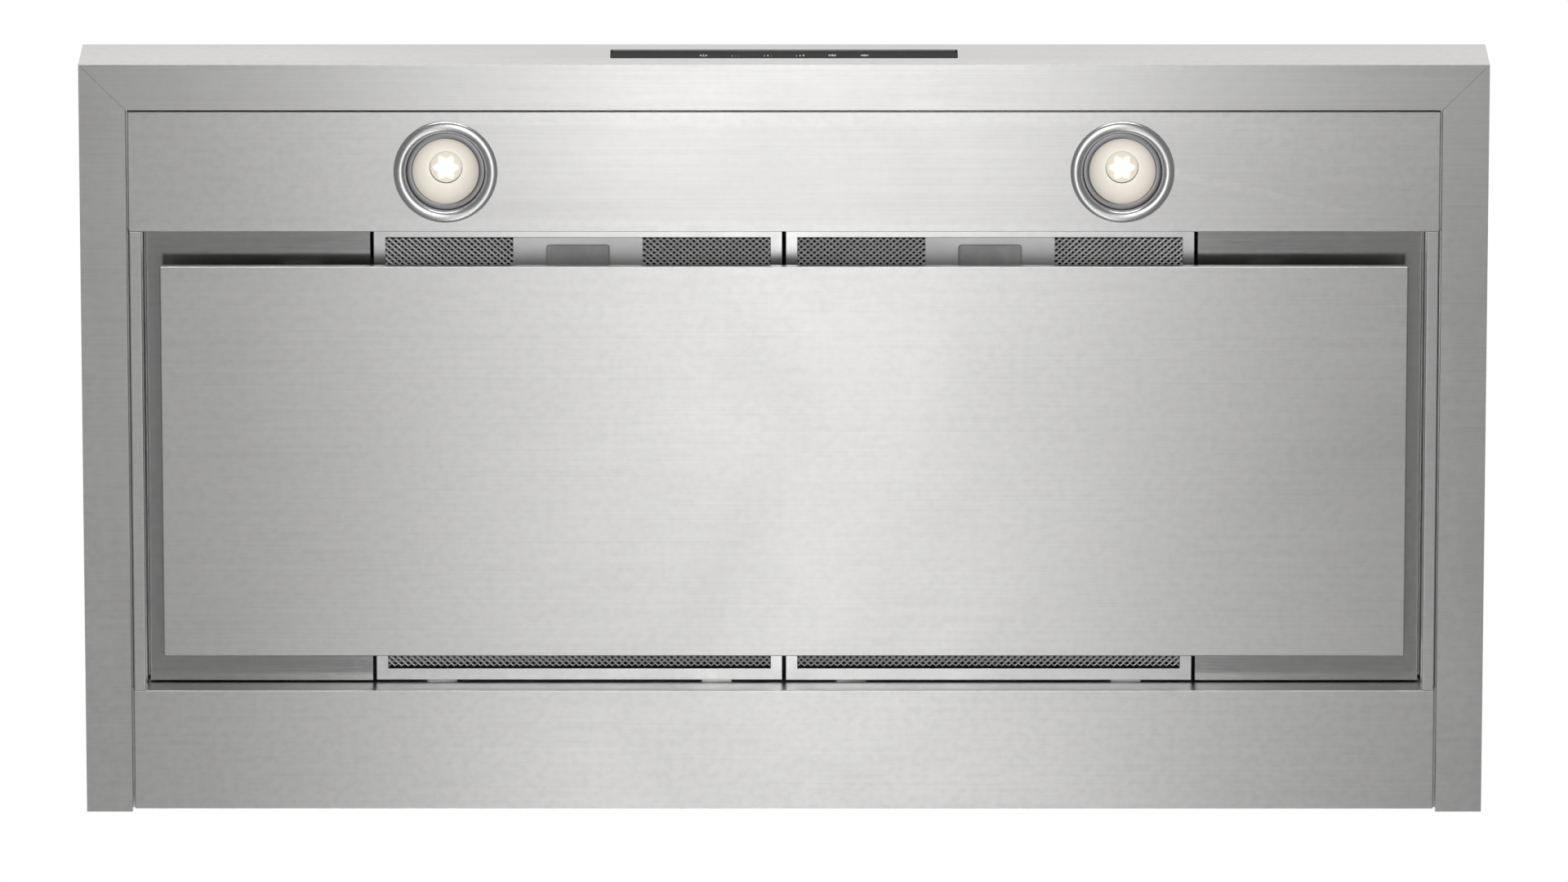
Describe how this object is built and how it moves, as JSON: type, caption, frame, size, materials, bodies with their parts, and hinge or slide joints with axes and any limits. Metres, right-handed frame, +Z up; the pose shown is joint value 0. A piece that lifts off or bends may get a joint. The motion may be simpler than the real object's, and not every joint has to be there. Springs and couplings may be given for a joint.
{
  "type": "under cabinet range hood",
  "caption": "Wide brushed stainless under cabinet range hood: sloped front, upright lip with touch keys, perimeter suction panel, mesh grease filters, recessed lamps, top duct collar.",
  "frame": {"origin": "centre of the cabinet screw pattern, on the flat top face that meets the cabinet", "axes": "+Z up, -Y out of the front lip, +X to the right hand side seen from the front"},
  "size_m": [0.913, 0.5, 0.2749],
  "materials": {
    "brushed_stainless": "horizontally brushed stainless steel",
    "galvanised_steel": "galvanised sheet with a faint spangle",
    "bright_steel": "bright zinc plated steel",
    "magnet": "dark ferrite",
    "black_glass": "glossy dark glass with light key icons",
    "black_plastic": "moulded black plastic",
    "circuit_board": "green circuit board",
    "blower_wheel": "rolled aluminium sheet",
    "motor_paint": "dark painted motor can",
    "isolator_rubber": "soft black rubber",
    "capacitor_case": "light moulded plastic",
    "cable_jacket": "black cable jacket",
    "filter_frame": "satin rolled aluminium",
    "filter_mesh": "expanded aluminium mesh",
    "latch_grey": "grey moulded plastic",
    "lamp_trim": "satin turned metal",
    "lamp_barrel": "grey anodised aluminium",
    "lamp_reflector": "warm white frosted plastic",
    "lamp_lens": "clear moulded lens over a warm lamp"
  },
  "bodies": {
    "hood": {"canopy_front": "brushed_stainless", "side_panel_left": "brushed_stainless", "side_panel_right": "brushed_stainless", "top_panel": "galvanised_steel", "back_panel": "galvanised_steel", "cabinet_braces": "galvanised_steel", "light_panel": "brushed_stainless", "rear_liner": "brushed_stainless", "liner_rail_left": "brushed_stainless", "liner_rail_right": "brushed_stainless", "filler_plate_left": "brushed_stainless", "filler_plate_right": "brushed_stainless", "hinge_brackets": "galvanised_steel", "hinge_pins": "bright_steel", "catch_magnets": "magnet", "lamp_left_trim": "lamp_trim", "lamp_left_barrel": "lamp_barrel", "lamp_left_reflector": "lamp_reflector", "lamp_left_lens": "lamp_lens", "lamp_left_clips": "bright_steel", "lamp_right_trim": "lamp_trim", "lamp_right_barrel": "lamp_barrel", "lamp_right_reflector": "lamp_reflector", "lamp_right_lens": "lamp_lens", "lamp_right_clips": "bright_steel", "touch_glass": "black_glass", "touch_carrier": "black_plastic", "touch_board": "circuit_board", "volute_wrap": "galvanised_steel", "volute_side_left": "galvanised_steel", "volute_side_right": "galvanised_steel", "motor_can": "motor_paint", "motor_mount": "galvanised_steel", "motor_isolators": "isolator_rubber", "run_capacitor": "capacitor_case", "duct_collar": "galvanised_steel", "damper_rods": "bright_steel", "junction_box": "galvanised_steel", "junction_box_cover": "galvanised_steel", "control_module": "black_plastic", "wiring_harness": "cable_jacket", "shell_screws": "bright_steel"},
    "perimeter_panel": {"perimeter_panel": "brushed_stainless", "panel_stiffeners": "galvanised_steel", "panel_hinge_ears": "galvanised_steel", "catch_strikes": "galvanised_steel"},
    "filter_left": {"filter_left_frame": "filter_frame", "filter_left_mesh": "filter_mesh", "filter_left_handle": "filter_frame", "filter_left_spring": "bright_steel"},
    "filter_left_latch": {"filter_left_latch": "latch_grey"},
    "filter_right": {"filter_right_frame": "filter_frame", "filter_right_mesh": "filter_mesh", "filter_right_handle": "filter_frame", "filter_right_spring": "bright_steel"},
    "filter_right_latch": {"filter_right_latch": "latch_grey"},
    "rotor": {"blower_wheel": "blower_wheel", "motor_shaft": "bright_steel"},
    "damper_front": {"damper_flap_front": "galvanised_steel"},
    "damper_rear": {"damper_flap_rear": "galvanised_steel"}
  },
  "joints": [
    {"name": "panel_swing", "type": "hinge", "parent": "hood", "child": "perimeter_panel", "pos_m": [0, 0.0443, -0.215], "axis": [1, 0, 0], "range_deg": [0, 90]},
    {"name": "filter_left_tilt", "type": "hinge", "parent": "hood", "child": "filter_left", "pos_m": [-0.13405, 0.074, -0.2015], "axis": [1, 0, 0], "range_deg": [0, 3]},
    {"name": "filter_left_latch_slide", "type": "slide", "parent": "filter_left", "child": "filter_left_latch", "axis": [0, 1, 0], "range_m": [0, 0.01], "stiffness_N_per_m": 600, "springref_m": -0.02, "deforming": ["filter_left_spring"]},
    {"name": "filter_right_tilt", "type": "hinge", "parent": "hood", "child": "filter_right", "pos_m": [0.13405, 0.074, -0.2015], "axis": [1, 0, 0], "range_deg": [0, 3]},
    {"name": "filter_right_latch_slide", "type": "slide", "parent": "filter_right", "child": "filter_right_latch", "axis": [0, 1, 0], "range_m": [0, 0.01], "stiffness_N_per_m": 600, "springref_m": -0.02, "deforming": ["filter_right_spring"]},
    {"name": "rotor_spin", "type": "hinge", "parent": "hood", "child": "rotor", "pos_m": [0, -0.05619, -0.10151], "axis": [1, 0, 0], "continuous": true},
    {"name": "damper_front_swing", "type": "hinge", "parent": "hood", "child": "damper_front", "pos_m": [0, -0.0045, 0.014], "axis": [-1, 0, 0], "range_deg": [0, 78]},
    {"name": "damper_rear_swing", "type": "hinge", "parent": "hood", "child": "damper_rear", "pos_m": [0, 0.0045, 0.014], "axis": [1, 0, 0], "range_deg": [0, 78]}
  ],
  "couplings": [
    {"joint": "filter_left_latch_slide", "follows": "filter_left_tilt", "m_per_rad": 0.19},
    {"joint": "filter_right_latch_slide", "follows": "filter_right_tilt", "m_per_rad": 0.19}
  ]
}
